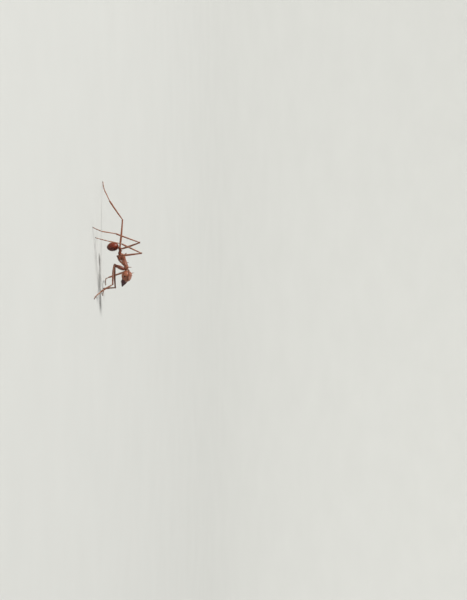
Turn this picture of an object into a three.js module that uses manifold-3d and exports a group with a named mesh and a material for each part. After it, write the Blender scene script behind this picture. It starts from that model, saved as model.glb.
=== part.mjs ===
// Leafcutter ant, media worker, modelled life size as it walks.
// Millimetres. +X is forward, +Y is the ant's left, +Z is up. The ground is z = 0.

import * as THREE from 'three';
import { mergeVertices } from 'three/addons/utils/BufferGeometryUtils.js';
import Module from 'manifold-3d';

const wasm = await Module();
wasm.setup();

// ---------------------------------------------------------------- driving dimensions

// The walking pose is laid out from a point under the tail end of the ant,
// and this offset moves the middle of its footprint to the origin.
const ORIGIN = { x: 2.3760, y: 0.5976 };

const JOINT_GAP = 0.03;
const WELD_DISTANCE = 1e-5;
const SOCKET_INSET = 0.15;
const GROUND_DEPTH = 2;
const GROUND_SIZE = 60;

const HEAD = {
  centre: [8.68, 0, 4.78],
  pitchDeg: 19,
  rollDeg: 12,
  halfLength: 1.03,
  halfWidth: 1.17,
  halfHeight: 0.78,
  squareness: 2.5,
  facets: [32, 18],
  // Each of these grows over a span of x in the head's own axes.
  narrowing: { share: 0.27, from: -0.2, to: 1 },
  thinning: { share: 0.34, from: -0.1, to: 1.05 },
  notch: { depth: 0.36, width: 0.36, from: -0.15, to: -0.95 },
  furrow: { depth: 0.1, width: 0.28, from: 0.5, to: -0.4 },
  clypeus: { reach: 0.08, width: 0.4, from: 0.6, to: 1 },
  lobe: { forward: 0.5, aside: 0.34, length: 0.24, width: 0.17, height: 0.1 },
};
const OCCIPITAL_SPINE = { base: [-0.66, 0.78, 0.3], tip: [-0.98, 1.06, 0.78], radius: 0.16 };
const VERTEX_SPINE = { base: [-0.3, 0.42, 0.6], tip: [-0.42, 0.47, 0.92], radius: 0.1 };
const SPINE_BLUNTNESS = 0.22;
const EYE = { centre: [0.12, 1.04, 0.08], radii: [0.17, 0.16, 0.15], facets: [12, 8] };

const MANDIBLE = {
  hinge: 0.72,
  reach: 1.95,
  outer: 0.66,
  bulge: 0.78,
  bulgeAt: 1.49,
  inner: 0.16,
  basalAngle: 1.24,
  apexInset: 0.06,
  teeth: 8,
  toothDepth: 0.07,
  toothRamp: 3,
  baseThickness: 0.96,
  tipThickness: 0.22,
  edgeThinning: 0.5,
  edgeMargin: 0.1,
  drop: 0.08,
};

const SCAPE = { base: [0.46, 0.48, 0.62], radii: [0.25, 0.25, 0.26] };
const FUNICULUS = { length: 2.4, radii: [0.25, 0.25, 0.27] };
// Elbow of each scape in the head's own axes, and heading of each funiculus:
// azimuth from forward towards the left, then elevation, in degrees.
const ANTENNAE = {
  r: { side: -1, elbow: [-1.15, -1.77, 0.5], azimuth: -46, elevation: -58 },
  l: { side: 1, elbow: [-0.35, 2.28, -0.05], azimuth: 24, elevation: -36 },
};

// Stations along the mesosoma: x, underside, back, half width.
const MESOSOMA = [
  [4.68, 3.56, 4.0, 0.26],
  [4.95, 3.4, 4.4, 0.4],
  [5.35, 3.38, 4.6, 0.5],
  [5.72, 3.62, 4.66, 0.44],
  [6.1, 3.94, 4.8, 0.42],
  [6.5, 4.19, 4.92, 0.44],
  [6.95, 4.34, 5.09, 0.56],
  [7.35, 4.41, 5.14, 0.52],
  [7.66, 4.46, 4.98, 0.32],
  [7.95, 4.5, 4.86, 0.2],
];
const MESOSOMA_FACETS = [14, 22];
const MESOSOMA_SQUARENESS = 8;
const MESOSOMA_SPINES = [
  { base: [7.14, 0.4, 4.9], tip: [7.16, 0.62, 5.68], radius: 0.17 },
  { base: [6.42, 0.2, 4.72], tip: [6.36, 0.27, 5.2], radius: 0.13 },
  { base: [5.08, 0.24, 4.3], tip: [4.72, 0.42, 4.86], radius: 0.15 },
];

const PETIOLE = { centre: [4.4, 0, 3.78], radii: [0.3, 0.23, 0.24], node: 0.14 };
const POSTPETIOLE = { centre: [3.95, 0, 3.66], radii: [0.27, 0.4, 0.3], node: 0.04 };
const WAIST_FACETS = [12, 9];
const WAIST_HUMP_LENGTH = 0.5;
const GASTER = {
  centre: [3.66, 0, 2.42],
  radii: [1.03, 0.84, 0.77],
  tiltDeg: 100,
  tipNarrowing: 0.08,
  facets: [22, 15],
};

const LIMB_SIDES = 8;
const CAP_STEPS = 2;
const SWELL_AT = 0.45;
const TIP_HEIGHT = 0.2;
const COXA_RADII = { front: [0.4, 0.36, 0.27], mid: [0.33, 0.3, 0.27], hind: [0.33, 0.3, 0.27] };
const FEMUR_RADII = [0.25, 0.29, 0.27];
const TIBIA_RADII = [0.25, 0.26, 0.26];
const BASITARSUS_RADII = [0.25, 0.25, 0.25];
const TARSUS_RADII = [0.25, 0.25, 0.25];

// Lengths of coxa with trochanter, femur, tibia, basitarsus, rest of the tarsus.
const LEG_LENGTHS = {
  front: [1.85, 3.7, 2.5, 1.4, 1.4],
  mid: [1.0, 4.6, 3.7, 2.3, 2.1],
  hind: [1.0, 5.25, 4.3, 2.4, 1.8],
};
const HIPS = {
  front: [7.5, 0.36, 4.4],
  mid: [5.75, 0.42, 3.66],
  hind: [4.95, 0.42, 3.62],
};
// Heading of each segment as azimuth from forward towards the left, and elevation,
// in degrees. The last segment keeps its azimuth and comes down to the ground.
const STANCE = {
  front_r: [[-152, -60], [-21.5, -1.5], [-45, -47], [-62, -23], [-65]],
  front_l: [[138, -68], [7.3, 0.5], [83, -60], [70, -10], [62]],
  mid_r: [[-121, -18], [-105, 70], [-149, -61], [-146, -76], [-152]],
  mid_l: [[83, -22], [65, 17], [-24, -71], [85, -20], [60]],
  hind_r: [[-150, 14], [-105.5, 44.5], [-141, -64.5], [-116, -70], [-117]],
  hind_l: [[146, -8], [172, 4.5], [158, -34], [151, -25], [147]],
};

const CUTICLE = {
  head: { color: 0x7c3a28, roughness: 0.5 },
  trunk: { color: 0x8a3c26, roughness: 0.5 },
  waist: { color: 0x5e2318, roughness: 0.45 },
  gaster: { color: 0x5a1d14, roughness: 0.25 },
  mandible: { color: 0x2b1218, roughness: 0.3 },
  eye: { color: 0x120c0a, roughness: 0.2 },
  coxa: { color: 0x70301f, roughness: 0.45 },
  leg: { color: 0x87402b, roughness: 0.45 },
  foot: { color: 0x94553f, roughness: 0.55 },
};

// ---------------------------------------------------------------- solids

// Closed solid from a geometry, welded so that its faces share their corners.
function solid(geometry) {
  geometry.deleteAttribute('normal');
  geometry.deleteAttribute('uv');
  const welded = mergeVertices(geometry, WELD_DISTANCE);
  const mesh = new wasm.Mesh({
    numProp: 3,
    vertProperties: new Float32Array(welded.attributes.position.array),
    triVerts: new Uint32Array(welded.index.array),
  });
  return new wasm.Manifold(mesh);
}

// Named part from a solid, moved so that the footprint is centred on the origin.
function part(name, body, look) {
  const mesh = body.getMesh();
  const geometry = new THREE.BufferGeometry();
  geometry.setAttribute('position', new THREE.BufferAttribute(mesh.vertProperties, 3));
  geometry.setIndex(new THREE.BufferAttribute(mesh.triVerts, 1));
  geometry.translate(-ORIGIN.x, -ORIGIN.y, 0);
  geometry.computeVertexNormals();
  const material = new THREE.MeshStandardMaterial({ ...look, metalness: 0 });
  const node = new THREE.Mesh(geometry, material);
  node.name = name;
  return node;
}

function smooth(from, to, value) {
  const t = Math.min(1, Math.max(0, (value - from) / (to - from)));
  return t * t * (3 - 2 * t);
}

function bell(value, width) {
  return Math.exp(-((value / width) ** 2));
}

function flip(point, side) {
  return new THREE.Vector3(point[0], point[1] * side, point[2]);
}

function heading(azimuthDeg, elevationRad) {
  const azimuth = THREE.MathUtils.degToRad(azimuthDeg);
  return new THREE.Vector3(
    Math.cos(elevationRad) * Math.cos(azimuth),
    Math.cos(elevationRad) * Math.sin(azimuth),
    Math.sin(elevationRad),
  );
}

// Unit ball with its poles at the two ends of X, every vertex moved by a shaping function.
function shapedBall(facets, shape) {
  const geometry = new THREE.SphereGeometry(1, ...facets);
  geometry.rotateZ(-Math.PI / 2);
  const position = geometry.attributes.position;
  const direction = new THREE.Vector3();
  for (let i = 0; i < position.count; i += 1) {
    direction.fromBufferAttribute(position, i);
    const moved = shape(direction);
    position.setXYZ(i, moved.x, moved.y, moved.z);
  }
  return geometry;
}

// Straight limb from joint to joint: it starts with a ball, or square just short of
// the joint as a socket for the limb above, swells a little and ends in a ball.
function limb(start, end, radii, { grow = 0, ballStart = false } = {}) {
  const [first, middle, last] = radii.map((radius) => radius + grow);
  const axis = new THREE.Vector3().subVectors(end, start);
  const length = axis.length();
  const profile = [];
  if (ballStart) {
    profile.push(new THREE.Vector2(0, -first));
    profile.push(new THREE.Vector2(first * Math.SQRT1_2, -first * Math.SQRT1_2));
    profile.push(new THREE.Vector2(first, 0));
  } else {
    profile.push(new THREE.Vector2(0, SOCKET_INSET));
    profile.push(new THREE.Vector2(first, SOCKET_INSET));
  }
  profile.push(new THREE.Vector2(middle, length * SWELL_AT));
  for (let i = 0; i <= CAP_STEPS; i += 1) {
    const angle = (Math.PI / 2) * (i / CAP_STEPS);
    profile.push(new THREE.Vector2(last * Math.cos(angle), length + last * Math.sin(angle)));
  }
  profile[profile.length - 1].x = 0;
  const geometry = new THREE.LatheGeometry(profile, LIMB_SIDES);
  const turn = new THREE.Quaternion().setFromUnitVectors(
    new THREE.Vector3(0, 1, 0),
    axis.normalize(),
  );
  geometry.applyQuaternion(turn);
  geometry.translate(start.x, start.y, start.z);
  return solid(geometry);
}

// Spine tapering from a buried base to a small blunt tip.
function spine(base, tip, radius) {
  const axis = new THREE.Vector3().subVectors(tip, base);
  const length = axis.length();
  const geometry = new THREE.CylinderGeometry(radius * SPINE_BLUNTNESS, radius, length, LIMB_SIDES);
  geometry.translate(0, length / 2, 0);
  const turn = new THREE.Quaternion().setFromUnitVectors(
    new THREE.Vector3(0, 1, 0),
    axis.normalize(),
  );
  geometry.applyQuaternion(turn);
  geometry.translate(base.x, base.y, base.z);
  return solid(geometry);
}

// ---------------------------------------------------------------- head

// Places the head's own axes (x to the jaws, y left, z to the face) in the body.
const headPose = new THREE.Matrix4()
  .makeTranslation(...HEAD.centre)
  .multiply(new THREE.Matrix4().makeRotationY(THREE.MathUtils.degToRad(HEAD.pitchDeg)))
  .multiply(new THREE.Matrix4().makeRotationX(THREE.MathUtils.degToRad(HEAD.rollDeg)));

// Heart-shaped capsule: squared-off ball, narrower in front, notched behind,
// with a furrow between its two lobes and raised lobes over the feelers' sockets.
function headCapsule(grow = 0) {
  const size = [HEAD.halfLength + grow, HEAD.halfWidth + grow, HEAD.halfHeight + grow];
  const { narrowing, thinning, notch, furrow, clypeus, lobe } = HEAD;
  const shape = (d) => {
    const power = HEAD.squareness;
    const sum = Math.abs(d.x / size[0]) ** power
      + Math.abs(d.y / size[1]) ** power
      + Math.abs(d.z / size[2]) ** power;
    const p = d.clone().multiplyScalar(sum ** (-1 / power));
    const face = p.z > 0 ? 1 : 0;
    p.y *= 1 - narrowing.share * smooth(narrowing.from, narrowing.to, p.x);
    p.z *= 1 - thinning.share * smooth(thinning.from, thinning.to, p.x);
    p.x += notch.depth * smooth(notch.from, notch.to, p.x) * bell(p.y, notch.width);
    p.z -= face * furrow.depth * smooth(furrow.from, furrow.to, p.x) * bell(p.y, furrow.width);
    const onLobe = bell(p.x - lobe.forward, lobe.length) * bell(Math.abs(p.y) - lobe.aside, lobe.width);
    p.z += face * lobe.height * onLobe;
    p.x += clypeus.reach * smooth(clypeus.from, clypeus.to, p.x) * bell(p.y, clypeus.width);
    return p;
  };
  return solid(shapedBall(HEAD.facets, shape));
}

function buildHead() {
  let body = headCapsule();
  for (const side of [1, -1]) {
    for (const { base, tip, radius } of [OCCIPITAL_SPINE, VERTEX_SPINE]) {
      body = body.add(spine(flip(base, side), flip(tip, side), radius));
    }
  }
  return body;
}

function buildEye(side, head) {
  const [length, depth, height] = EYE.radii;
  const geometry = new THREE.SphereGeometry(1, ...EYE.facets);
  geometry.scale(length, depth, height);
  const centre = flip(EYE.centre, side);
  geometry.translate(centre.x, centre.y, centre.z);
  return solid(geometry).subtract(head);
}

// Triangular jaw: a plate with a curved outer edge and a row of teeth on its
// inner edge, thick at the hinge and thin at the tip. The first teeth are shallow.
function buildMandible(side, head) {
  const outline = new THREE.Shape();
  outline.moveTo(MANDIBLE.hinge, MANDIBLE.inner);
  outline.lineTo(MANDIBLE.hinge, MANDIBLE.outer);
  outline.quadraticCurveTo(
    MANDIBLE.bulgeAt,
    MANDIBLE.bulge,
    MANDIBLE.reach,
    MANDIBLE.apexInset,
  );
  const bite = MANDIBLE.reach - MANDIBLE.basalAngle;
  const slant = MANDIBLE.inner - MANDIBLE.apexInset;
  for (let i = 1; i <= MANDIBLE.teeth; i += 1) {
    const valley = (i - 0.5) / MANDIBLE.teeth;
    const point = i / MANDIBLE.teeth;
    const depth = MANDIBLE.toothDepth * Math.min(1, MANDIBLE.toothRamp * valley);
    const inset = MANDIBLE.apexInset;
    outline.lineTo(MANDIBLE.reach - bite * valley, inset + slant * valley + depth);
    outline.lineTo(MANDIBLE.reach - bite * point, inset + slant * point);
  }
  const geometry = new THREE.ExtrudeGeometry(outline, {
    depth: 1,
    steps: 2,
    bevelEnabled: false,
    curveSegments: 8,
  });
  const position = geometry.attributes.position;
  for (let i = 0; i < position.count; i += 1) {
    const along = smooth(MANDIBLE.hinge, MANDIBLE.reach, position.getX(i));
    const across = smooth(MANDIBLE.inner - MANDIBLE.edgeMargin, MANDIBLE.outer, position.getY(i));
    const thickness = THREE.MathUtils.lerp(MANDIBLE.baseThickness, MANDIBLE.tipThickness, along);
    const edge = THREE.MathUtils.lerp(MANDIBLE.edgeThinning, 1, across);
    position.setZ(i, (position.getZ(i) - 0.5) * thickness * edge - MANDIBLE.drop);
  }
  let body = solid(geometry);
  if (side < 0) {
    body = body.mirror([0, 1, 0]);
  }
  return body.subtract(head);
}

// ---------------------------------------------------------------- trunk, waist and gaster

// Underside, back and half width of the mesosoma at x, between its stations.
function station(x) {
  let low = 0;
  while (low < MESOSOMA.length - 2 && x > MESOSOMA[low + 1][0]) {
    low += 1;
  }
  const before = MESOSOMA[low];
  const after = MESOSOMA[low + 1];
  const t = THREE.MathUtils.clamp((x - before[0]) / (after[0] - before[0]), 0, 1);
  return before.map((value, i) => THREE.MathUtils.lerp(value, after[i], t));
}

function mesosomaBarrel(grow = 0) {
  const start = MESOSOMA[0][0] - grow;
  const end = MESOSOMA[MESOSOMA.length - 1][0] + grow;
  const shape = (d) => {
    const x = THREE.MathUtils.lerp(start, end, (d.x + 1) / 2);
    const [, underside, back, halfWidth] = station(x);
    const rounding = Math.sqrt(Math.max(0, 1 - d.x ** MESOSOMA_SQUARENESS));
    const around = Math.hypot(d.y, d.z) || 1;
    const waistline = THREE.MathUtils.lerp(underside, back, 0.5);
    const halfHeight = (back - underside) / 2 + grow;
    const y = (d.y / around) * (halfWidth + grow) * rounding;
    const z = waistline + (d.z / around) * halfHeight * rounding;
    return new THREE.Vector3(x, y, z);
  };
  return solid(shapedBall(MESOSOMA_FACETS, shape));
}

function buildMesosoma() {
  let body = mesosomaBarrel();
  for (const side of [1, -1]) {
    for (const { base, tip, radius } of MESOSOMA_SPINES) {
      body = body.add(spine(flip(base, side), flip(tip, side), radius));
    }
  }
  return body;
}

// Waist bead: a ball with a low hump on its back.
function waistBead(bead, grow = 0) {
  const [length, width, height] = bead.radii.map((radius) => radius + grow);
  const shape = (d) => {
    const hump = d.z > 0 ? bead.node * d.z * bell(d.x, WAIST_HUMP_LENGTH) : 0;
    return new THREE.Vector3(
      bead.centre[0] + d.x * length,
      bead.centre[1] + d.y * width,
      bead.centre[2] + d.z * height + hump,
    );
  };
  return solid(shapedBall(WAIST_FACETS, shape));
}

// Egg-shaped gaster hanging from the waist, its tip towards the ground.
function buildGaster(grow = 0) {
  const [length, width, height] = GASTER.radii.map((radius) => radius + grow);
  const shape = (d) => {
    const taper = 1 + GASTER.tipNarrowing * d.x;
    return new THREE.Vector3(d.x * length, d.y * width * taper, d.z * height * taper);
  };
  const geometry = shapedBall(GASTER.facets, shape);
  geometry.rotateY(-THREE.MathUtils.degToRad(GASTER.tiltDeg));
  geometry.translate(...GASTER.centre);
  return solid(geometry);
}

// ---------------------------------------------------------------- legs

// Joint centres of one leg, from the hip to the claw.
function legJoints(pair, side, headings) {
  const joints = [flip(HIPS[pair], side)];
  LEG_LENGTHS[pair].forEach((length, i) => {
    const from = joints[i];
    const [azimuth, elevationDeg] = headings[i];
    const elevation = elevationDeg === undefined
      ? Math.asin((TIP_HEIGHT - from.z) / length)
      : THREE.MathUtils.degToRad(elevationDeg);
    joints.push(from.clone().addScaledVector(heading(azimuth, elevation), length));
  });
  return joints;
}

function buildLeg(key, trunk, ground) {
  const [pair, sideName] = key.split('_');
  const side = sideName === 'r' ? -1 : 1;
  const joints = legJoints(pair, side, STANCE[key]);
  const plan = [
    ['coxa', COXA_RADII[pair], CUTICLE.coxa],
    ['femur', FEMUR_RADII, CUTICLE.leg],
    ['tibia', TIBIA_RADII, CUTICLE.leg],
    ['basitarsus', BASITARSUS_RADII, CUTICLE.foot],
    ['tarsus', TARSUS_RADII, CUTICLE.foot],
  ];
  let above = trunk;
  return plan.map(([segment, radii, look], i) => {
    const ballStart = segment === 'coxa';
    const body = limb(joints[i], joints[i + 1], radii, { ballStart })
      .subtract(above)
      .subtract(ground);
    above = limb(joints[i], joints[i + 1], radii, { grow: JOINT_GAP });
    return part(`${segment}_${key}`, body, look);
  });
}

// ---------------------------------------------------------------- assembly

function buildAnt() {
  const ant = new THREE.Group();
  ant.name = 'leafcutter_ant';

  const poseElements = Array.from(headPose.elements);
  const inPose = (body) => body.transform(poseElements);
  const clearHead = headCapsule(JOINT_GAP);
  const clearTrunk = mesosomaBarrel(JOINT_GAP);

  ant.add(part('head', inPose(buildHead()), CUTICLE.head));
  for (const [key, antenna] of Object.entries(ANTENNAE)) {
    const mandible = inPose(buildMandible(antenna.side, clearHead));
    const eye = inPose(buildEye(antenna.side, clearHead));
    ant.add(part(`mandible_${key}`, mandible, CUTICLE.mandible));
    ant.add(part(`eye_${key}`, eye, CUTICLE.eye));

    const base = flip(SCAPE.base, antenna.side).applyMatrix4(headPose);
    const elbow = new THREE.Vector3(...antenna.elbow).applyMatrix4(headPose);
    const droop = THREE.MathUtils.degToRad(antenna.elevation);
    const tip = elbow.clone().addScaledVector(heading(antenna.azimuth, droop), FUNICULUS.length);
    const scape = limb(base, elbow, SCAPE.radii, { ballStart: true }).subtract(inPose(clearHead));
    const clearScape = limb(base, elbow, SCAPE.radii, { grow: JOINT_GAP });
    const funiculus = limb(elbow, tip, FUNICULUS.radii).subtract(clearScape);
    ant.add(part(`scape_${key}`, scape, CUTICLE.leg));
    ant.add(part(`funiculus_${key}`, funiculus, CUTICLE.leg));
  }

  const gaster = buildGaster();
  const petiole = waistBead(PETIOLE).subtract(clearTrunk);
  const postpetiole = waistBead(POSTPETIOLE)
    .subtract(waistBead(PETIOLE, JOINT_GAP))
    .subtract(buildGaster(JOINT_GAP));
  ant.add(part('mesosoma', buildMesosoma().subtract(inPose(clearHead)), CUTICLE.trunk));
  ant.add(part('petiole', petiole, CUTICLE.waist));
  ant.add(part('postpetiole', postpetiole, CUTICLE.waist));
  ant.add(part('gaster', gaster, CUTICLE.gaster));

  const ground = solid(new THREE.BoxGeometry(GROUND_SIZE, GROUND_SIZE, GROUND_DEPTH))
    .translate([0, 0, -GROUND_DEPTH / 2]);
  for (const key of Object.keys(STANCE)) {
    for (const segment of buildLeg(key, clearTrunk, ground)) {
      ant.add(segment);
    }
  }
  return ant;
}

export default buildAnt();
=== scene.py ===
import math

import bmesh
import bpy
import numpy as np
from mathutils import Matrix, Vector, kdtree, noise


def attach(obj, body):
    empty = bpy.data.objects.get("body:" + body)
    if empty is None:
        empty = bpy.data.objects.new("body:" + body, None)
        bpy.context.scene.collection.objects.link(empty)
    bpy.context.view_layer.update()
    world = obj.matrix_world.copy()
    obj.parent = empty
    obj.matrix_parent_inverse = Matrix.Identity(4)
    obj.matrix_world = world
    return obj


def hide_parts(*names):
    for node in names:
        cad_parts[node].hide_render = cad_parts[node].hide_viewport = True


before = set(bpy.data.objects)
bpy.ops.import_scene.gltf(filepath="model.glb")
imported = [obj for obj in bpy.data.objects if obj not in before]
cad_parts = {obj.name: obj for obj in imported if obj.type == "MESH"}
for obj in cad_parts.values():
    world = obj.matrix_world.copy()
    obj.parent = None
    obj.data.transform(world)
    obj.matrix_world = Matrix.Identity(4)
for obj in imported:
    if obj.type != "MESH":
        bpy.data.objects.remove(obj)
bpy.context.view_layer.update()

# ---------------------------------------------------------------------------
# Camera. The ant is seen square on from its right side, three degrees above the
# ground it walks on, and the camera is turned a quarter so that the ground stands
# upright at the left of the picture and the ant walks down it.
MM = 0.001
VIEW_ELEVATION = math.radians(3)
AIM = Vector((10.3740, -0.5976, 23.067)) * MM
CAMERA_DISTANCE = 283.33 * MM
LENS = 100
SENSOR_WIDTH = 36
CLIP_END = 2.0

camera_data = bpy.data.cameras.new("camera")
camera_data.lens = LENS
camera_data.sensor_width = SENSOR_WIDTH
camera_data.clip_start = CAMERA_DISTANCE / 100
camera_data.clip_end = CLIP_END
camera = bpy.data.objects.new("camera", camera_data)
bpy.context.scene.collection.objects.link(camera)
backwards = Vector((0, -math.cos(VIEW_ELEVATION), math.sin(VIEW_ELEVATION)))
picture_right = Vector((0, math.sin(VIEW_ELEVATION), math.cos(VIEW_ELEVATION)))
picture_up = Vector((-1, 0, 0))
turn = Matrix((picture_right, picture_up, backwards)).transposed()
camera.matrix_world = Matrix.Translation(AIM + backwards * CAMERA_DISTANCE) @ turn.to_4x4()
bpy.context.scene.camera = camera

# ---------------------------------------------------------------------------
# Studio. A pale matt floor of painted board, with a faint grain, that sweeps up into
# walls all round. The strong lamp hangs high and far off behind the ant's tail, and
# a weak one across from it. Both are broad, so that shadows are soft.
FLOOR_RADIUS = 300 * MM
SWEEP_RADIUS = 400 * MM
WALL_HEIGHT = 440 * MM
SWEEP_STEPS = 16
STUDIO_SIDES = 96
BOARD_GRAINS_PER_METRE = 60
ROOM_LIGHT = 0.15
# Each lamp's place and breadth in millimetres, and its watts.
LAMPS = [
    ("lamp_key", (-1020, -495, 1050), 360, 30.0),
    ("lamp_back", (380, 520, 620), 350, 1.0),
]


def linear(hex_colour):
    channels = [int(hex_colour[i : i + 2], 16) / 255 for i in (1, 3, 5)]
    return (*[c / 12.92 if c <= 0.04045 else ((c + 0.055) / 1.055) ** 2.4 for c in channels], 1)


def add_node(tree, kind, inputs=None, **settings):
    made = tree.nodes.new(kind)
    for name, value in settings.items():
        setattr(made, name, value)
    for name, value in (inputs or {}).items():
        if isinstance(value, bpy.types.NodeSocket):
            tree.links.new(value, made.inputs[name])
        else:
            made.inputs[name].default_value = value
    return made


def new_material(name):
    material = bpy.data.materials.new(name)
    material.use_nodes = True
    material.node_tree.nodes.clear()
    return material, material.node_tree


def clouded(name, scale, detail, stops, roughness, ior):
    """Material whose colour and roughness follow one cloudy noise between two ends."""
    material, tree = new_material(name)
    place = add_node(tree, "ShaderNodeTexCoord").outputs["Object"]
    noise_inputs = {"Vector": place, "Scale": scale, "Detail": detail}
    clouds = add_node(tree, "ShaderNodeTexNoise", noise_inputs).outputs["Fac"]
    ramp = add_node(tree, "ShaderNodeValToRGB", {"Fac": clouds})
    for element, (position, colour) in zip(ramp.color_ramp.elements, stops):
        element.position = position
        element.color = linear(colour)
    span = {"Value": clouds, "To Min": roughness[0], "To Max": roughness[1]}
    rough = add_node(tree, "ShaderNodeMapRange", span).outputs["Result"]
    surface = {"Base Color": ramp.outputs["Color"], "Roughness": rough, "IOR": ior}
    shader = add_node(tree, "ShaderNodeBsdfPrincipled", surface)
    add_node(tree, "ShaderNodeOutputMaterial", {"Surface": shader.outputs["BSDF"]})
    return material


def show(name, mesh, material):
    mesh.polygons.foreach_set("use_smooth", [True] * len(mesh.polygons))
    mesh.materials.append(material)
    made = bpy.data.objects.new(name, mesh)
    bpy.context.scene.collection.objects.link(made)
    return made


def new_object(name, shape, material):
    mesh = bpy.data.meshes.new(name)
    shape.to_mesh(mesh)
    shape.free()
    return show(name, mesh, material)


def spun(outline, axis, steps):
    """Shell spun about an axis from a line of points that begins on it."""
    shape = bmesh.new()
    rim = [shape.verts.new(point) for point in outline]
    edges = [shape.edges.new(pair) for pair in zip(rim, rim[1:])]
    bmesh.ops.spin(
        shape, geom=rim + edges, cent=(0, 0, 0), axis=axis, angle=math.tau, steps=steps, use_merge=True
    )
    bmesh.ops.remove_doubles(shape, verts=shape.verts, dist=1e-5)
    bmesh.ops.recalc_face_normals(shape, faces=shape.faces)
    return shape


# Matt wall paint gives an even pale grey with no shine.
greys = [(0, "#CACAC5"), (1, "#CFCFCA")]
board = clouded("painted_board", BOARD_GRAINS_PER_METRE, 3, greys, (0.9, 0.9), 1.5)

profile = [(0, 0, 0), (FLOOR_RADIUS, 0, 0)]
for step in range(1, SWEEP_STEPS + 1):
    angle = math.pi / 2 * step / SWEEP_STEPS
    across = FLOOR_RADIUS + SWEEP_RADIUS * math.sin(angle)
    profile.append((across, 0, SWEEP_RADIUS * (1 - math.cos(angle))))
profile.append((FLOOR_RADIUS + SWEEP_RADIUS, 0, WALL_HEIGHT))
shape = spun(profile, (0, 0, 1), STUDIO_SIDES)
bmesh.ops.reverse_faces(shape, faces=shape.faces)
studio = new_object("studio_sweep", shape, board)

for name, at, size, power in LAMPS:
    lamp_data = bpy.data.lights.new(name, "AREA")
    lamp_data.shape = "DISK"
    lamp_data.size = size * MM
    lamp_data.energy = power
    lamp = bpy.data.objects.new(name, lamp_data)
    lamp.location = Vector(at) * MM
    lamp.rotation_mode = "QUATERNION"
    lamp.rotation_quaternion = lamp.location.to_track_quat("Z", "Y")
    bpy.context.scene.collection.objects.link(lamp)

world = bpy.data.worlds.new("soft_room")
world.use_nodes = True
sky = world.node_tree.nodes["Background"]
sky.inputs["Color"].default_value = linear("#F2F4F6")
sky.inputs["Strength"].default_value = ROOM_LIGHT
bpy.context.scene.world = world
bpy.context.scene.view_settings.view_transform = "Standard"

# ---------------------------------------------------------------------------
# Head capsule. One hard shell of red-brown chitin, heart-shaped, notched behind
# and drawn out into two pairs of spines. Ridges roof the feelers' sockets, a seam
# rings the face plate, a furrow runs down the middle, and the grain is leathery.
ORIGIN = Vector((2.3760, 0.5976, 0))
INTO_ROW = Matrix.Scale(MM, 4) @ Matrix.Translation(-ORIGIN)
SIDES = {"r": -1, "l": 1}
HEAD_POSE = (
    Matrix.Translation((8.68, 0, 4.78))
    @ Matrix.Rotation(math.radians(19), 4, "Y")
    @ Matrix.Rotation(math.radians(12), 4, "X")
)
HEAD_HALF = (1.03, 1.17, 0.78)
HEAD_SQUARENESS = 2.5
FACE_NARROWING = 0.27
FACE_FLATTENING = 0.34
NOTCH_DEPTH = 0.36
CROWN_DIP = 0.1
BROW_RISE = 0.1
FACE_PLATE_REACH = 0.08
# Darkening of the cheeks and the face's underside: partly their real darker pigment, partly painted shade
# under the head.
CHEEK_TINT_AND_SHADE = 0.5
# Spines of the left half: base, tip and radius in millimetres.
HEAD_SPINES = [
    ((-0.66, 0.78, 0.3), (-0.98, 1.06, 0.78), 0.16),
    ((-0.3, 0.42, 0.6), (-0.42, 0.47, 0.92), 0.1),
]
# Radius of a spine at shares of its length, as a share of the radius at its base.
SPINE_TAPER = [(0.0, 0.95), (0.14, 0.62), (0.32, 0.43), (0.55, 0.31), (0.8, 0.21), (0.95, 0.13), (1.0, 0.0)]
SOCKET = (0.46, 0.48, 0.62)
EYE_CENTRE = (0.12, 1.04, 0.08)
SKIN_VOXEL = 0.022
# Depth of a cut at which its painted shade is full.
PAINTED_SHADE_FULL_DEPTH = 0.03
CHITIN_IOR = 1.56
MOTTLE_SPAN = 0.75
FLECKS_PER_PATCH = 8
FLECK_SHARE = 0.35
# Ridges and furrows of the left half: a line they run along, half width, and height.
HEAD_LINES = [
    # ridge that roofs the feeler's socket, and its fading end
    ([(0.82, 0.17, 0.42), (0.66, 0.36, 0.56), (0.45, 0.42, 0.66), (0.2, 0.38, 0.7)], 0.035, 0.05),
    ([(0.2, 0.38, 0.7), (0.0, 0.36, 0.72), (-0.2, 0.4, 0.72)], 0.03, 0.025),
    # seam round the face plate
    ([(1.0, 0.62, 0.1), (0.85, 0.4, 0.35), (0.72, 0.16, 0.52), (0.66, 0.0, 0.56)], 0.022, -0.026),
    # ridge over the cheek
    ([(0.9, 0.75, 0.28), (0.5, 0.9, 0.42), (0.2, 0.92, 0.5), (-0.05, 0.78, 0.6)], 0.028, 0.03),
    # front rim and the cheek's seam
    ([(1.0, 0.6, -0.12), (1.05, 0.3, -0.02), (1.08, 0.0, 0.02)], 0.03, 0.022),
    ([(0.95, 0.72, 0.1), (0.7, 0.9, 0.02), (0.4, 1.0, -0.05)], 0.02, -0.014),
    # ridge along the throat's side, and rim behind the head
    ([(0.5, 1.0, -0.35), (0.0, 1.05, -0.45), (-0.5, 0.95, -0.4)], 0.025, 0.014),
    ([(-0.66, 0.2, -0.5), (-0.72, 0.6, -0.42), (-0.7, 0.9, -0.2)], 0.03, 0.025),
    # furrows down the middle of crown and throat
    ([(0.45, 0.0, 0.7), (0.0, 0.0, 0.7), (-0.55, 0.0, 0.55)], 0.022, -0.01),
    ([(0.75, 0.0, -0.5), (0.1, 0.0, -0.75), (-0.6, 0.0, -0.5)], 0.025, -0.012),
]
# Raised rim of the socket and groove round the eye: two radii, half width, and height.
HEAD_RINGS = [
    (SOCKET, (0.1, 0.04, -0.06), (-0.02, 0.1, 0.0), 0.028, 0.025),
    (EYE_CENTRE, (0.17, 0, 0), (0, 0, 0.15), 0.02, -0.018),
]


def smoothstep(start, end, value):
    """Soft rise from 0 at start to 1 at end."""
    t = min(1.0, max(0.0, (value - start) / (end - start)))
    return t * t * (3 - 2 * t)


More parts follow.
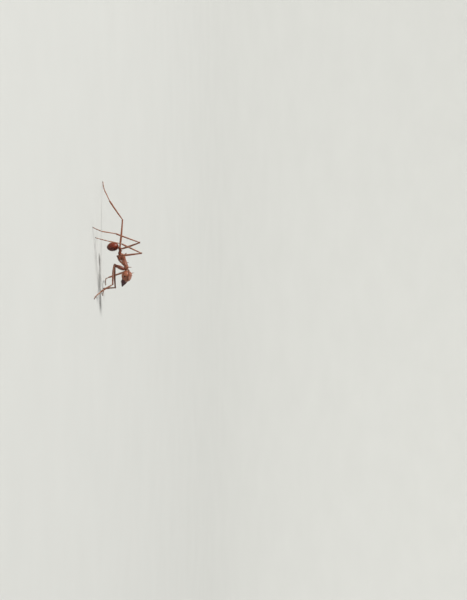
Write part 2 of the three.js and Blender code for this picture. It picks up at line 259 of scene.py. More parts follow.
def bell(value, width):
    return math.exp(-((value / width) ** 2))


def mix(a, b, t):
    return a + (b - a) * t


def flipped(point, side):
    return Vector((point[0], point[1] * side, point[2]))


def between(a, b, c, d, t):
    """What lies at share t from b to c on a smooth curve through all four."""
    bend = (2 * a - 5 * b + 4 * c - d) * t**2 + (3 * b - a - 3 * c + d) * t**3
    return 0.5 * (2 * b + (c - a) * t + bend)


def curve_through(points, steps):
    """Points on a smooth curve through the given ones."""
    points = [Vector(p) for p in points]
    ends = [points[0] * 2 - points[1], *points, points[-1] * 2 - points[-2]]
    fours = zip(ends, ends[1:], ends[2:], ends[3:])
    return [between(*four, step / steps) for four in fours for step in range(steps)] + [points[-1]]


def turned(outline, sides):
    """Closed form spun about X from (along, radius) points that begin and end on the axis."""
    return spun([(along, 0, max(radius, 0)) for along, radius in outline], (1, 0, 0), sides)


def lay(start, end, above=(0, 0, 1)):
    """Matrix that lays +X from start towards end, with +Z as near as can be to above."""
    along = (Vector(end) - Vector(start)).normalized()
    across = Vector(above).cross(along).normalized()
    over = along.cross(across)
    return Matrix.Translation(start) @ Matrix((along, across, over)).transposed().to_4x4()


def add_to(shape, extra, matrix=None):
    """Moves the mesh of extra into shape."""
    if matrix:
        bmesh.ops.transform(extra, matrix=matrix, verts=extra.verts)
    carrier = bpy.data.meshes.new("carrier")
    extra.to_mesh(carrier)
    extra.free()
    shape.from_mesh(carrier)
    bpy.data.meshes.remove(carrier)


def spine(base, tip, radius):
    """Spine with a flared foot and a fine tip."""
    length = (Vector(tip) - Vector(base)).length
    outline = [(-0.5 * radius, 0), (-0.4 * radius, 0.9 * radius)]
    outline += [(length * t, radius * r) for t, r in SPINE_TAPER]
    shape = turned(outline, 20)
    bmesh.ops.transform(shape, matrix=lay(base, tip, (0.3, 0.1, 1)), verts=shape.verts)
    return shape


def fused(shape, voxel, rounds, sharp=None):
    """Welds a form's overlapping shells into one skin, and smooths all but its sharp points."""
    mesh = bpy.data.meshes.new("blank")
    shape.to_mesh(mesh)
    shape.free()
    blank = bpy.data.objects.new("blank", mesh)
    bpy.context.scene.collection.objects.link(blank)
    weld = blank.modifiers.new("weld", "REMESH")
    weld.mode = "VOXEL"
    weld.voxel_size = voxel
    depsgraph = bpy.context.evaluated_depsgraph_get()
    welded = bpy.data.meshes.new_from_object(blank.evaluated_get(depsgraph))
    bpy.data.objects.remove(blank)
    bpy.data.meshes.remove(mesh)
    skin = bmesh.new()
    skin.from_mesh(welded)
    bpy.data.meshes.remove(welded)
    for done in range(rounds):
        soft = [v for v in skin.verts if not (sharp and done > 1 and sharp(v.co))]
        bmesh.ops.smooth_vert(
            skin, verts=soft, factor=0.5, use_axis_x=True, use_axis_y=True, use_axis_z=True
        )
    skin.normal_update()
    return skin


def emboss(skin, lines, pits=(), grain=0.0, grain_size=0.05):
    """Raises or cuts lines (path, half width, height) and pits (centre, radius, height) into
    a skin, adds a fine uneven grain, and paints shade into the cuts, darker the deeper they are."""
    places = np.array([v.co[:] for v in skin.verts])
    lift = np.zeros(len(places))
    for path, width, height in lines:
        gap = np.full(len(places), np.inf)
        for a, b in zip(path, path[1:]):
            a, b = np.array(a), np.array(b)
            t = np.clip((places - a) @ (b - a) / max((b - a) @ (b - a), 1e-12), 0, 1)
            gap = np.minimum(gap, np.linalg.norm(places - (a + t[:, None] * (b - a)), axis=1))
        lift += height * np.exp(-((gap / width) ** 2))
    for centre, radius, height in pits:
        gap = np.linalg.norm(places - np.array(centre), axis=1)
        lift += height * np.exp(-((gap / radius) ** 2))
    # Painted shade in the cuts and pits: the deeper, the darker.
    dark = np.clip(-lift / PAINTED_SHADE_FULL_DEPTH, 0, 1)
    layer = skin.verts.layers.float.get("tint_and_shade") or skin.verts.layers.float.new("tint_and_shade")
    for v, height, painted_cut_shade in zip(skin.verts, lift, dark):
        v[layer] = max(v[layer], painted_cut_shade)
        v.co += v.normal * (height + noise.fractal(v.co / grain_size, 1.0, 2.0, 3) * grain)
    skin.normal_update()


def sharpen(skin, spikes):
    """Draws the outer half of each spine (base, tip, radius) of a skin to its true taper."""
    skin.verts.ensure_lookup_table()
    places = np.array([v.co[:] for v in skin.verts])
    shares, radii = zip(*SPINE_TAPER)
    for base, tip, radius in spikes:
        for side in SIDES.values():
            root = np.array(flipped(base, side))
            way = np.array(flipped(tip, side)) - root
            along = (places - root) @ way / (way @ way)
            off = places - root - along[:, None] * way
            away = np.linalg.norm(off, axis=1)
            true = radius * np.maximum(np.interp(along, shares, radii), 0.03)
            for i in np.flatnonzero((along > 0.35) & (along < 1.05) & (away < 0.6 * radius)):
                weight = smoothstep(0.35, 0.6, along[i])
                skin.verts[i].co = places[i] + off[i] * (true[i] / max(away[i], 1e-6) - 1) * weight
    skin.normal_update()


def both_sides(entries):
    """Lines or pits given for the left, repeated on the right."""
    doubled = []
    for where, *rest in entries:
        for side in (1, -1):
            if isinstance(where[0], (int, float)):
                doubled.append((tuple(flipped(where, side)), *rest))
            else:
                doubled.append(([tuple(flipped(p, side)) for p in where], *rest))
    return doubled


def head_surface(d):
    """Point of the bare capsule in direction d from its middle, in the head's own axes."""
    total = sum(abs(c / half) ** HEAD_SQUARENESS for c, half in zip(d, HEAD_HALF))
    p = Vector(d) * total ** (-1 / HEAD_SQUARENESS)
    p.y *= 1 - FACE_NARROWING * smoothstep(-0.2, 1, p.x)
    p.z *= 1 - FACE_FLATTENING * smoothstep(-0.1, 1.05, p.x)
    p.x += NOTCH_DEPTH * smoothstep(0.15, 0.95, -p.x) * bell(p.y, 0.36)
    if p.z > 0:
        p.z -= CROWN_DIP * smoothstep(0.5, -0.4, p.x) * bell(p.y, 0.28)
        p.z += BROW_RISE * bell(p.x - 0.5, 0.24) * bell(abs(p.y) - 0.34, 0.17)
    p.x += FACE_PLATE_REACH * smoothstep(0.6, 1, p.x) * bell(p.y, 0.4)
    return p


def on_head(points):
    """Smooth line through points pressed on to the capsule."""
    return [tuple(p) for p in curve_through([head_surface(Vector(p).normalized()) for p in points], 4)]


def ring_on_head(centre, across, up, steps=20):
    """Ring on the capsule round a point, with two radii across each other."""
    turns = [math.tau * i / steps for i in range(steps + 1)]
    points = [Vector(centre) + Vector(across) * math.cos(a) + Vector(up) * math.sin(a) for a in turns]
    return [tuple(head_surface(p.normalized())) for p in points]


def chitin(name, base, pale, dark, roughness, cell, depth, patch=0.4, shine=0.35, sheen=0.0):
    """Hardened chitin, with cloudy colour in patches, dark where tint_and_shade is 1 (dark joints
    and painted shade), and a net of raised cells. Cell, depth and patch are in millimetres."""
    material, tree = new_material(name)
    place = add_node(tree, "ShaderNodeTexCoord").outputs["Object"]
    large = {"Vector": place, "Scale": 1 / (patch * MM), "Detail": 4, "Roughness": 0.55}
    clouds = add_node(tree, "ShaderNodeTexNoise", large).outputs["Fac"]
    small = {"Vector": place, "Scale": FLECKS_PER_PATCH / (patch * MM), "Detail": 3, "Roughness": 0.6}
    flecks = add_node(tree, "ShaderNodeTexNoise", small).outputs["Fac"]
    spread = add_node(tree, "ShaderNodeMix", {0: FLECK_SHARE, 2: clouds, 3: flecks}, data_type="FLOAT")
    ramp = add_node(tree, "ShaderNodeValToRGB", {"Fac": spread.outputs[0]})
    ramp.color_ramp.elements[0].position = 0.5 - MOTTLE_SPAN / 2
    ramp.color_ramp.elements[0].color = linear(dark)
    ramp.color_ramp.elements[1].position = 0.5 + MOTTLE_SPAN / 2
    ramp.color_ramp.elements[1].color = linear(pale)
    ramp.color_ramp.elements.new(0.5).color = linear(base)
    # The tint_and_shade layer darkens the colour: real dark joints, knees, spurs, jaw teeth and pigment, and
    # painted shade in cuts, under the head, on the gaster's belly and on the legs.
    tint_and_shade = add_node(tree, "ShaderNodeAttribute", attribute_name="tint_and_shade")
    colours = {0: tint_and_shade.outputs["Fac"], 6: ramp.outputs["Color"], 7: linear(dark)}
    shade = add_node(tree, "ShaderNodeMix", colours, data_type="RGBA")
    cell_scale = {"Vector": place, "Scale": 1 / (cell * MM)}
    cells = add_node(tree, "ShaderNodeTexVoronoi", cell_scale, feature="DISTANCE_TO_EDGE")
    relief = {"Height": cells.outputs["Distance"], "Strength": 1.0, "Distance": depth * MM}
    net = add_node(tree, "ShaderNodeBump", relief).outputs["Normal"]
    grain = {"Height": flecks, "Strength": 1.0, "Distance": 3 * depth * MM, "Normal": net}
    uneven = add_node(tree, "ShaderNodeBump", grain)
    span = {"Value": flecks, "To Min": roughness - 0.07, "To Max": roughness + 0.09}
    rough = add_node(tree, "ShaderNodeMapRange", span)
    surface = {
        "Base Color": shade.outputs[2],
        "Roughness": rough.outputs["Result"],
        "IOR": CHITIN_IOR,
        "Specular IOR Level": shine,
        "Sheen Weight": sheen,
        "Sheen Roughness": 0.45,
        "Sheen Tint": linear("#F0D2B8"),
        "Normal": uneven.outputs["Normal"],
    }
    shell = add_node(tree, "ShaderNodeBsdfPrincipled", surface)
    add_node(tree, "ShaderNodeOutputMaterial", {"Surface": shell.outputs["BSDF"]})
    return material


def finish_piece(name, shape, material, nodes=(), pose=None):
    """Moves a form in millimetres into the model's frame and ties it to what it stands for."""
    bmesh.ops.transform(shape, matrix=INTO_ROW @ pose if pose else INTO_ROW, verts=shape.verts)
    made = new_object(name, shape, material)
    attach(made, "root")
    if nodes:
        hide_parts(*nodes)
    return made


# Netted chitin of the head is satin, and a fine bloom pales it where it turns away.
netted_head = ("#8F5038", "#BC8262", "#4A1D12")
head_chitin = chitin("netted_chitin_head", *netted_head, 0.4, 0.024, 0.0028, sheen=0.35)

shape = bmesh.new()
bmesh.ops.create_icosphere(shape, subdivisions=6, radius=1)
for v in shape.verts:
    v.co = head_surface(v.co)
for side in SIDES.values():
    for base, tip, radius in HEAD_SPINES:
        add_to(shape, spine(flipped(base, side), flipped(tip, side), radius))
shape = fused(shape, SKIN_VOXEL, 6, sharp=lambda p: p.z > 0.7 and (p.x < -0.85 or p.z > 0.8))
socket_centre = tuple(head_surface(Vector(SOCKET).normalized()))
lines = [(on_head(points), width, height) for points, width, height in HEAD_LINES]
lines += [(ring_on_head(centre, *radii), width, height) for centre, *radii, width, height in HEAD_RINGS]
pits = both_sides([(socket_centre, 0.085, -0.07)])
emboss(shape, both_sides(lines), pits, grain=0.006, grain_size=0.11)
sharpen(shape, HEAD_SPINES)
# The cheeks near the jaws and the underside of the face are darkened: real darker pigment there, and painted
# shade under the head.
layer = shape.verts.layers.float["tint_and_shade"]
for v in shape.verts:
    cheek = smoothstep(0.1, 1.0, v.co.x) * smoothstep(0.5, -0.3, v.co.z)
    v[layer] = max(v[layer], CHEEK_TINT_AND_SHADE * cheek)
head_skin = finish_piece("head_capsule", shape, head_chitin, ["head"], HEAD_POSE)

# ---------------------------------------------------------------------------
# Eyes. Small oval domes of clear lenses over dark pigment, set flush in a groove
# at mid length of the head. Each of the few hundred lenses is its own low dome.
EYE_RADII = (0.147, 0.157, 0.13)
EYE_HIDDEN_BELOW = -0.2
LENS_DOME = 0.035

# Lens chitin is smooth and glassy, and the pigment behind makes it brown-black.
pigment = [(0, "#140B09"), (1, "#3E2016")]
lens_chitin = clouded("lens_chitin_over_pigment", 1 / (0.05 * MM), 3, pigment, (0.12, 0.2), 1.42)

lattice = bmesh.new()
bmesh.ops.create_icosphere(lattice, subdivisions=4, radius=1)
lenses = kdtree.KDTree(len(lattice.verts))
for index, v in enumerate(lattice.verts):
    lenses.insert(v.co, index)
lenses.balance()
lens_gap = min(v.co.angle(e.other_vert(v).co) for v in lattice.verts for e in v.link_edges) / 2
lattice.free()
for key, side in SIDES.items():
    shape = bmesh.new()
    bmesh.ops.create_icosphere(shape, subdivisions=6, radius=1)
    hidden = [v for v in shape.verts if v.co.y * side < EYE_HIDDEN_BELOW]
    bmesh.ops.delete(shape, geom=hidden, context="VERTS")
    bmesh.ops.holes_fill(shape, edges=[e for e in shape.edges if e.is_boundary], sides=0)
    for v in shape.verts:
        centre = lenses.find(v.co)[0]
        off = v.co.angle(centre, 0) / lens_gap
        v.co *= 1 - LENS_DOME * min(off, 1.6) ** 2
        v.co = Vector(c * r for c, r in zip(v.co, EYE_RADII)) + flipped(EYE_CENTRE, side)
    finish_piece(f"compound_eye_{key}", shape, lens_chitin, [f"eye_{key}"], HEAD_POSE)

# ---------------------------------------------------------------------------
# Jaws. Thick triangular blades of dark chitin hardened with zinc, ridged along
# the outside, with a row of teeth down the inner edge that ends in a long point.
JAW_HINGE = 0.72
JAW_REACH = 1.95
JAW_TEETH_START = 1.24
JAW_TEETH = 9
JAW_RIDGES = 9
JAW_RIDGE_HEIGHT = 0.035
# How far the outer edge lies from the middle line at hinge, bow and tip.
JAW_OUTER = (0.66, 0.78, 0.06)

# Chitin hardened with zinc is darker towards the teeth and polished by use.
jaw_chitin = chitin("polished_chitin_jaws", "#3E1318", "#66241F", "#1A0609", 0.3, 0.03, 0.001, shine=0.4)


def jaw_outer_edge(x):
    """Outer edge's distance from the middle line, on a bow from hinge to tip."""
    hinge, bow, tip = JAW_OUTER
    if x <= JAW_HINGE:
        return hinge
    a, b, c = -0.31, 1.54, JAW_HINGE - x
    t = (-b + math.sqrt(max(b * b - 4 * a * c, 0))) / (2 * a)
    return (1 - t) ** 2 * hinge + 2 * t * (1 - t) * bow + t * t * tip


def jaw_point(d):
    """Point of the left jaw for a direction on a unit ball whose poles lie on X."""
    x = mix(JAW_HINGE - 0.12, JAW_REACH, (d.x + 1) / 2)
    around = math.atan2(d.z, d.y)
    across = 0.5 + 0.5 * math.cos(around)
    bite = max(0.0, (x - JAW_TEETH_START) / (JAW_REACH - JAW_TEETH_START))
    inner = mix(0.14, 0.055, bite)
    outer = jaw_outer_edge(x)
    y = mix(min(inner, outer), outer, across)
    if 0 < bite < 1:
        phase = (bite * JAW_TEETH) % 1
        valley = min(phase / 0.65, (1 - phase) / 0.35)
        valley *= smoothstep(0.0, 0.08, bite) * smoothstep(1.0, 0.9, bite)
        y = min(outer, y + (0.05 + 0.035 * bite) * valley * (1 - across) ** 6)
    along = smoothstep(JAW_HINGE, JAW_REACH, x)
    thick = mix(mix(0.5, 0.86, smoothstep(0.6, 0.95, x)), 0.16, along)
    thick *= mix(0.1, 1, smoothstep(-0.05, 0.7, across))
    bulge = abs(math.sin(around)) ** 0.75 * (1 if around > 0 else -1)
    ridge = math.cos(JAW_RIDGES * 2 * around) * smoothstep(0.35, 0.6, across)
    lift = 1 + JAW_RIDGE_HEIGHT * ridge * smoothstep(JAW_HINGE, 1.0, x) * smoothstep(JAW_REACH, 1.5, x)
    close = math.sqrt(max(0.0, 1 - d.x**12))
    height = -0.08 - 0.05 * along**2 + bulge * thick / 2 * lift * close
    return Vector((x, mix(0.5 * (inner + outer), y, close), height))


def ball_along_x(around, along):
    """Unit ball with its poles on X."""
    shape = bmesh.new()
    bmesh.ops.create_uvsphere(shape, u_segments=around, v_segments=along, radius=1)
    quarter = Matrix.Rotation(math.pi / 2, 3, "Y")
    bmesh.ops.rotate(shape, verts=shape.verts, cent=(0, 0, 0), matrix=quarter)
    return shape


for key, side in SIDES.items():
    shape = ball_along_x(120, 140)
    layer = shape.verts.layers.float.new("tint_and_shade")
    for v in shape.verts:
        across = 0.5 + 0.5 * math.cos(math.atan2(v.co.z, v.co.y))
        v.co = jaw_point(v.co)
        bite = smoothstep(0.35, 0.1, across) * smoothstep(1.1, 1.3, v.co.x)
        v[layer] = max(smoothstep(1.45, 1.95, v.co.x), bite)
    if side < 0:
        bmesh.ops.scale(shape, vec=(1, -1, 1), verts=shape.verts)
    bmesh.ops.recalc_face_normals(shape, faces=shape.faces)
    finish_piece(f"jaw_{key}", shape, jaw_chitin, [f"mandible_{key}"], HEAD_POSE)

# ---------------------------------------------------------------------------
# Mouthparts. Under the face plate hang a small upper lip, two folded maxillae and
# the tongue between them, with two pairs of thin jointed palps. They are softer and
# paler than the jaws that cover them.
PALP_OUTLINE = [(0.0, 0.014), (0.5, 0.021), (0.92, 0.019)]
PALPS = [
    [(0.96, 0.26, -0.47), (1.12, 0.3, -0.53), (1.25, 0.27, -0.55), (1.36, 0.21, -0.53)],
    [(1.04, 0.07, -0.49), (1.16, 0.09, -0.54), (1.27, 0.07, -0.53)],
]
LIMB_END = [(0.0, 1.0), (0.45, 0.88), (0.8, 0.6), (1.0, 0.0)]

# Thin chitin of the mouthparts is paler and lets some brown through.
mouth_chitin = chitin("soft_chitin_mouthparts", "#8A4A2E", "#B27250", "#542616", 0.4, 0.03, 0.0012)


def bead(centre, radii, matrix=None):
    """Small ellipsoid shell."""
    shape = bmesh.new()
    bmesh.ops.create_icosphere(shape, subdivisions=4, radius=1)
    bmesh.ops.scale(shape, vec=radii, verts=shape.verts)
    if matrix:
        bmesh.ops.transform(shape, matrix=matrix, verts=shape.verts)
    bmesh.ops.translate(shape, vec=centre, verts=shape.verts)
    return shape


def tapered(start, end, outline, sides=16, above=(0, 0, 1), bow=0.0, steps=4, flat=1.0):
    """Closed limb from start to end: outline is (share of length, radius), bow lifts its middle
    and flat is its width over its height. The tint darkens towards both ends."""
    length = (Vector(end) - Vector(start)).length
    line = curve_through([(share * length, 0, radius) for share, radius in outline], steps)
    first, last = line[0], line[-1]
    rim = [(first.x - first.z * s * 0.6, first.z * r) for s, r in reversed(LIMB_END[1:])]
    rim += [(p.x, p.z) for p in line]
    rim += [(last.x + last.z * s * 0.6, last.z * r) for s, r in LIMB_END[1:]]
    shape = turned(rim, sides)
    layer = shape.verts.layers.float.new("tint_and_shade")
    for v in shape.verts:
        share = v.co.x / length
        v[layer] = 0.75 * max(bell(v.co.x, 0.16), bell(v.co.x - length, 0.13))
        v.co.y *= flat
        v.co.z += bow * 4 * share * (1 - share)
    bmesh.ops.transform(shape, matrix=lay(start, end, above), verts=shape.verts)
    return shape


shape = bmesh.new()
add_to(shape, bead((1.02, 0, -0.12), (0.1, 0.2, 0.07)))
add_to(shape, bead((0.86, 0, -0.44), (0.24, 0.1, 0.07)))
for side in SIDES.values():
    add_to(shape, bead((0.8, 0.19 * side, -0.41), (0.3, 0.11, 0.09)))
    add_to(shape, bead((1.05, 0.15 * side, -0.4), (0.12, 0.07, 0.07)))
    for palp in PALPS:
        for start, end in zip(palp, palp[1:]):
            add_to(shape, tapered(flipped(start, side), flipped(end, side), PALP_OUTLINE, 10))
finish_piece("mouthparts", shape, mouth_chitin, (), HEAD_POSE)

# ---------------------------------------------------------------------------
# Feelers. Each has a long bent shaft that turns in a socket under the frontal ridge,
# then a short pedicel and nine beads that thicken towards the tip. The beads are
# matt with short dense down, for smelling.
ANTENNAE = {
    "r": {"elbow": (-1.15, -1.77, 0.5), "azimuth": -46, "elevation": -58},
    "l": {"elbow": (-0.35, 2.28, -0.05), "azimuth": 24, "elevation": -36},
}
WHIP_LENGTH = 2.4
WHIP_SHARES = [0.115, 0.09, 0.085, 0.085, 0.085, 0.088, 0.09, 0.092, 0.095, 0.175]
# Radii in millimetres at shares of the length. The bead's are shares of its own radius.
SHAFT_OUTLINE = [(0.0, 0.062), (0.03, 0.055), (0.07, 0.04), (0.16, 0.062), (0.5, 0.078), (0.85, 0.092)]
SHAFT_OUTLINE += [(0.985, 0.085)]
PEDICEL_OUTLINE = [(0.08, 0.04), (0.3, 0.042), (0.75, 0.066), (0.93, 0.06)]
BEAD_OUTLINE = [(0.05, 0.6), (0.2, 0.88), (0.62, 1.0), (0.92, 0.84)]
LAST_BEAD_OUTLINE = [(0.06, 0.06), (0.16, 0.082), (0.5, 0.086), (0.8, 0.066), (0.93, 0.04)]

# Downy chitin of the feelers is matt, with a pale bloom along its edges.
downy_feelers = ("#824A34", "#B0775C", "#482015")
feeler_chitin = chitin("downy_chitin_feelers", *downy_feelers, 0.46, 0.02, 0.0016, patch=0.25, sheen=0.25)

# Joint membrane is soft, folded and dull, and darker than the plates it joins.
membrane = chitin("folded_joint_membrane", "#6B3A26", "#8E553C", "#3A1A10", 0.55, 0.03, 0.003, patch=0.1)
membranes = bmesh.new()
limbs = {}


def fold(where, radius):
    """Ball of folded skin in a joint."""
    add_to(membranes, bead(where, (radius, radius, radius)))


def finish_limb(name, shape, material, node, start, end):
    """Finishes one length of a limb, and keeps it with its axis for the hairs."""
    limbs[name] = (finish_piece(name, shape, material, [node]), (start, end))


def heading(azimuth, elevation):
    """Unit step in a direction given in degrees."""
    azimuth, elevation = math.radians(azimuth), math.radians(elevation)
    level = math.cos(elevation)
    return Vector((level * math.cos(azimuth), level * math.sin(azimuth), math.sin(elevation)))


for key, side in SIDES.items():
    antenna = ANTENNAE[key]
    socket = HEAD_POSE @ Vector(flipped(socket_centre, side))
    elbow = HEAD_POSE @ Vector(antenna["elbow"])
    above = HEAD_POSE.to_3x3() @ Vector((0, 0, 1))
    shaft = tapered(socket, elbow, SHAFT_OUTLINE, 18, above, 0.11, 6)
    finish_limb(
        f"feeler_shaft_{key}", shaft, feeler_chitin, f"scape_{key}", socket, elbow
    )
    fold(socket, 0.075)
    fold(elbow, 0.062)
    way = heading(antenna["azimuth"], antenna["elevation"])
    droop = Vector((0, 0, -1)) - way * -way.z
    knots = []
    travelled = 0
    for share in [0, *WHIP_SHARES]:
        travelled += share
        sag = 0.09 * (travelled**2 - 0.55 * travelled)
        knots.append(elbow + way * WHIP_LENGTH * travelled + droop.normalized() * sag)
    whip = bmesh.new()
    for number, (start, end) in enumerate(zip(knots, knots[1:])):
        thick = mix(0.052, 0.088, min(1, number / 7))
        outline = [(share, radius * thick) for share, radius in BEAD_OUTLINE]
        if number == 0:
            outline = PEDICEL_OUTLINE
        elif number == len(WHIP_SHARES) - 1:
            outline = LAST_BEAD_OUTLINE
        add_to(whip, tapered(start, end, outline, 16))
    finish_limb(
        f"feeler_whip_{key}", whip, feeler_chitin, f"funiculus_{key}", knots[0], knots[-1]
    )

# ---------------------------------------------------------------------------
# Trunk. The shell of the thorax is made of fused plates: collar, shield, saddle,
# side plates and the back plate that carries the waist. Seams mark where they join,
# and three pairs of spines stand on the back.

# Each station's place along the body, underside, back and half width.
TRUNK_STATIONS = [
    (4.68, 3.56, 4.0, 0.26),
    (4.95, 3.4, 4.4, 0.4),
    (5.35, 3.38, 4.6, 0.5),
    (5.72, 3.62, 4.66, 0.44),
    (6.1, 3.94, 4.8, 0.42),
    (6.5, 4.19, 4.92, 0.44),
    (6.95, 4.34, 5.09, 0.56),
    (7.35, 4.41, 5.14, 0.52),
    (7.66, 4.46, 4.98, 0.32),
    (7.95, 4.5, 4.86, 0.2),
]
TRUNK_SPINES = [
    ((7.14, 0.4, 4.9), (7.16, 0.62, 5.68), 0.17),
    ((6.42, 0.2, 4.72), (6.36, 0.27, 5.2), 0.13),
    ((5.08, 0.24, 4.3), (4.72, 0.42, 4.86), 0.15),
]
TRUNK_BUMPS = [
    ((6.12, 0.2, 4.71), (0.1, 0.08, 0.13)),
    ((5.06, 0.34, 3.74), (0.24, 0.17, 0.19)),
    ((6.35, 0.26, 4.36), (0.48, 0.2, 0.24)),
    ((7.25, 0.3, 4.76), (0.36, 0.26, 0.3)),
    ((5.45, 0.24, 4.25), (0.42, 0.22, 0.28)),
]
# Seams and ridges: (x, angle up from level) stops on the left side, half width, and height.
TRUNK_LINES = [
    # seam behind the shield
    ([(6.72, 90), (6.74, 60), (6.84, 30), (6.98, 0), (7.12, -30)], 0.03, -0.035),
    # neck's collar
    ([(7.68, 90), (7.68, 45), (7.68, 0), (7.68, -45), (7.68, -90)], 0.035, -0.03),
    ([(7.8, 90), (7.8, 45), (7.8, 0), (7.8, -45), (7.8, -90)], 0.03, 0.02),
    # deep groove in front of the back plate
    ([(5.96, 90), (5.96, 60), (5.93, 30), (5.86, 5), (5.72, -25), (5.6, -55)], 0.045, -0.05),
    # seams of the side plates
    ([(6.98, -5), (6.7, -8), (6.35, 2), (6.0, 18)], 0.024, -0.024),
    ([(5.86, 8), (5.6, 4), (5.3, -6), (4.95, -4)], 0.024, -0.022),
    ([(7.5, -30), (7.25, -35), (7.0, -42)], 0.024, -0.02),
    # seam along the underside
    ([(7.1, -90), (6.4, -90), (5.8, -90), (5.1, -90)], 0.03, -0.025),
    # low ridges on side, back plate and shield
    ([(6.0, -40), (6.4, -42), (6.9, -45)], 0.028, 0.02),
    ([(5.3, 42), (5.1, 52), (5.0, 60)], 0.03, 0.02),
    ([(7.3, 20), (7.0, 24), (6.85, 20)], 0.03, 0.016),
]
# Breathing holes and a gland's mouth, the first with a raised rim.
TRUNK_PITS = [
    ((5.38, 22), 0.07, 0.035),
    ((5.38, 22), 0.03, -0.07),
    ((6.9, 4), 0.035, -0.035),
    ((4.96, -26), 0.035, -0.03),
]


def trunk_station(x):
    last = len(TRUNK_STATIONS) - 2
    low = max(i for i in range(last + 1) if i == 0 or x >= TRUNK_STATIONS[i][0])
    a, b = TRUNK_STATIONS[low], TRUNK_STATIONS[low + 1]
    t = min(1.0, max(0.0, (x - a[0]) / (b[0] - a[0])))
    before = TRUNK_STATIONS[max(0, low - 1)]
    after = TRUNK_STATIONS[min(last + 1, low + 2)]
    return [between(*four, t) for four in zip(before[1:], a[1:], b[1:], after[1:])]


def on_trunk(x, angle):
    """Point on the trunk's left side, at an angle up from level."""
    underside, back, half_width = trunk_station(x)
    angle = math.radians(angle)
    middle, half_height = (underside + back) / 2, (back - underside) / 2
    return Vector((x, half_width * math.cos(angle), middle + half_height * math.sin(angle)))


# Netted chitin of the trunk is satin like the head's, and a shade darker.
netted_trunk = ("#884C34", "#B57C5C", "#4A1C12")
trunk_chitin = chitin("netted_chitin_trunk", *netted_trunk, 0.4, 0.024, 0.0028, sheen=0.35)

shape = ball_along_x(40, 72)
for v in shape.verts:
    x = mix(TRUNK_STATIONS[0][0], TRUNK_STATIONS[-1][0], (v.co.x + 1) / 2)
    underside, back, half_width = trunk_station(x)
    closing = math.sqrt(max(0.0, 1 - v.co.x**8))
    around = math.atan2(v.co.z, v.co.y)
    rise = math.sin(around) * (back - underside) / 2
    v.co = (x, math.cos(around) * half_width * closing, (underside + back) / 2 + rise * closing)
bmesh.ops.recalc_face_normals(shape, faces=shape.faces)
for side in SIDES.values():
    for base, tip, radius in TRUNK_SPINES:
        add_to(shape, spine(flipped(base, side), flipped(tip, side), radius))
    for centre, radii in TRUNK_BUMPS:
        add_to(shape, bead(flipped(centre, side), radii))
shape = fused(
    shape,
    SKIN_VOXEL,
    7,
    sharp=lambda p: p.z > 5.3 or (p.z > 4.95 and p.x < 6.5) or (p.x < 4.9 and p.z > 4.5),
)
lines = []
for stops, width, height in TRUNK_LINES:
    lines.append((curve_through([on_trunk(*stop) for stop in stops], 5), width, height))
pits = [(on_trunk(*where), radius, height) for where, radius, height in TRUNK_PITS]
emboss(shape, both_sides(lines), both_sides(pits), grain=0.006, grain_size=0.1)
sharpen(shape, TRUNK_SPINES)
trunk_skin = finish_piece("trunk_shell", shape, trunk_chitin, ["mesosoma"])
neck = (HEAD_POSE @ Vector((-0.5, 0, -0.04)), Vector((7.85, 0, 4.68)))
add_to(membranes, tapered(*neck, [(0.0, 0.15), (0.3, 0.135), (0.6, 0.15), (1.0, 0.16)], 20))

# ---------------------------------------------------------------------------
# Waist. Two small knobbed rings of chitin between trunk and gaster, hinged by
# narrow necks, so that the gaster can be swung under the body. The first is low
# and stalked, the second broad and bell-shaped.
WAIST_VOXEL = 0.014
PETIOLE_STALK = [(0.0, 0.1), (0.3, 0.11), (0.7, 0.12), (1.0, 0.1)]
PETIOLE_GROOVE = [(4.62, 0.3, 3.6), (4.6, 0.2, 3.9)]
POSTPETIOLE_GROOVE = [(4.0, 0.0, 3.99), (3.98, 0.3, 3.86), (3.96, 0.42, 3.6)]

# Netted chitin of the waist is darker and redder, with less bloom.
netted_waist = ("#6C2C15", "#924A28", "#380F06")
waist_chitin = chitin("netted_chitin_waist", *netted_waist, 0.38, 0.024, 0.0024, sheen=0.15)


def waist_segment(node, shape, groove, height):
    """Welds a segment, cuts its groove and finishes it."""
    shape = fused(shape, WAIST_VOXEL, 5)
    emboss(shape, both_sides([(groove, 0.03, height)]), grain=0.005, grain_size=0.08)
    return finish_piece(f"{node}_shell", shape, waist_chitin, [node])


shape = bmesh.new()
add_to(shape, bead((4.4, 0, 3.78), (0.25, 0.2, 0.17)))
add_to(shape, bead((4.36, 0, 3.93), (0.11, 0.16, 0.13)))
add_to(shape, tapered((4.78, 0, 3.8), (4.12, 0, 3.72), PETIOLE_STALK))
add_to(shape, bead((4.5, 0, 3.6), (0.1, 0.04, 0.06)))
for side in SIDES.values():
    add_to(shape, spine((4.36, 0.1 * side, 3.96), (4.32, 0.14 * side, 4.12), 0.05))
    add_to(shape, bead((4.42, 0.17 * side, 3.78), (0.07, 0.06, 0.06)))
petiole_skin = waist_segment("petiole", shape, PETIOLE_GROOVE, -0.012)

shape = bmesh.new()
add_to(shape, bead((3.95, 0, 3.66), (0.25, 0.38, 0.24)))
add_to(shape, bead((3.92, 0, 3.78), (0.17, 0.26, 0.16)))
add_to(shape, bead((4.0, 0, 3.5), (0.16, 0.2, 0.12)))
for side in SIDES.values():
    add_to(shape, bead((3.96, 0.26 * side, 3.76), (0.1, 0.09, 0.1)))
postpetiole_skin = waist_segment("postpetiole", shape, POSTPETIOLE_GROOVE, -0.014)
add_to(membranes, tapered((4.95, 0, 3.82), (4.55, 0, 3.79), [(0.0, 0.13), (0.5, 0.115), (1.0, 0.12)], 20))
add_to(membranes, bead((4.16, 0, 3.72), (0.09, 0.11, 0.11)))
add_to(membranes, bead((3.8, 0, 3.46), (0.16, 0.22, 0.12)))

